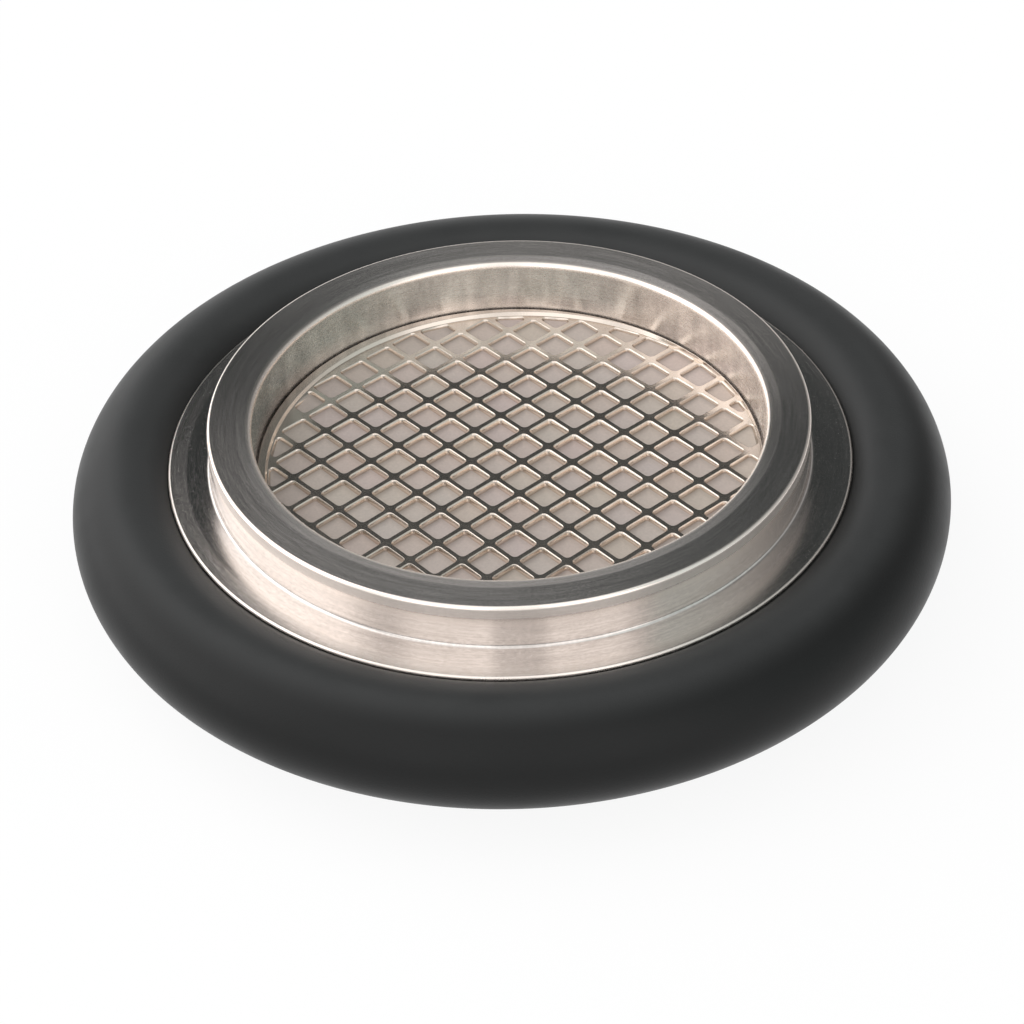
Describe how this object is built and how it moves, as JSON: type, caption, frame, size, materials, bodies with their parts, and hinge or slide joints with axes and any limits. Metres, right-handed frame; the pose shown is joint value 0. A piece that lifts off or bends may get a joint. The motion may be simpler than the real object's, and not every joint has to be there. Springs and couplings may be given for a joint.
{
  "type": "vacuum centering ring",
  "caption": "Centering ring for clamped vacuum flanges: a turned steel ring that carries a rubber O-ring outside and a filter under a square grid across its bore.",
  "frame": {"origin": "on the flow axis, halfway between the two end faces of the shoulders", "axes": "+Z along the flow axis, towards the side on which the grid shows; X and Y lie in the middle plane of the O-ring"},
  "size_m": [0.038, 0.038, 0.008],
  "materials": {
    "turned_steel": "turned stainless steel, fine circular marks, satin to bright",
    "seal_rubber": "matt black elastomer",
    "grid_steel": "bright thin stainless sheet with etched openings",
    "mesh_steel": "fine woven stainless wire, satin"
  },
  "bodies": {
    "root": {"centering_ring": "turned_steel", "o_ring": "seal_rubber", "support_grid": "grid_steel", "filter_mesh": "mesh_steel"}
  },
  "joints": []
}
